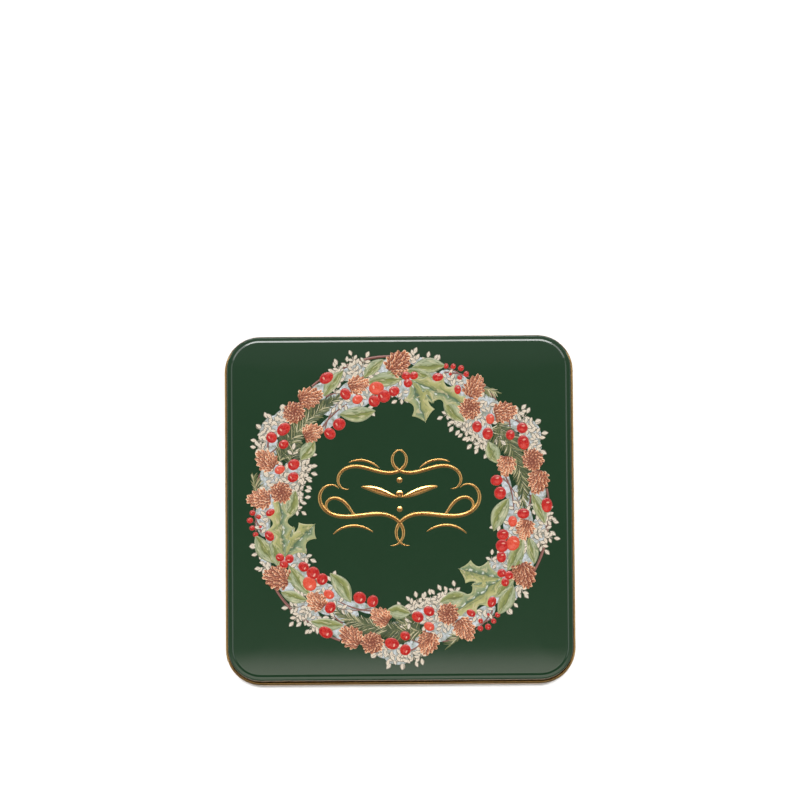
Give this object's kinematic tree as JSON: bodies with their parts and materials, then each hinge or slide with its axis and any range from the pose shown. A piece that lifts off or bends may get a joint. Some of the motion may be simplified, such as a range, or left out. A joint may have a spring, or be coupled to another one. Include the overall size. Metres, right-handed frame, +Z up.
{
  "type": "cookie tin",
  "caption": "Low square tinplate cookie tin with rounded corners, a slip-on lid embossed with a pine cone and berry wreath, and a moulded tray under a paper liner.",
  "frame": {"origin": "centre of the underside, on the surface the tin rests on", "axes": "+Z up through the lid, +X and +Y square to the flat sides; -Y is the side that is nearest the floor when the tin is stood on edge for display"},
  "size_m": [0.1936, 0.1936, 0.0609],
  "materials": {
    "green_print": "satin",
    "gold_lacquer": "gloss",
    "base_lacquer": "satin",
    "tray_plastic": "gloss",
    "liner_paper": "matte"
  },
  "bodies": {
    "tin_body": {"body_wall": "gold_lacquer", "base_panel": "base_lacquer"},
    "tray": {"inner_tray": "tray_plastic"},
    "liner": {"paper_liner": "liner_paper"},
    "lid": {"lid": "green_print"}
  },
  "joints": [
    {"name": "tray_lift", "type": "slide", "parent": "tin_body", "child": "tray", "axis": [0, 0, 1], "range_m": [0, 0.07]},
    {"name": "liner_lift", "type": "slide", "parent": "tray", "child": "liner", "axis": [0, 0, 1], "range_m": [0, 0.06]},
    {"name": "lid_lift", "type": "slide", "parent": "liner", "child": "lid", "axis": [0, 0, 1], "range_m": [0, 0.09]}
  ]
}
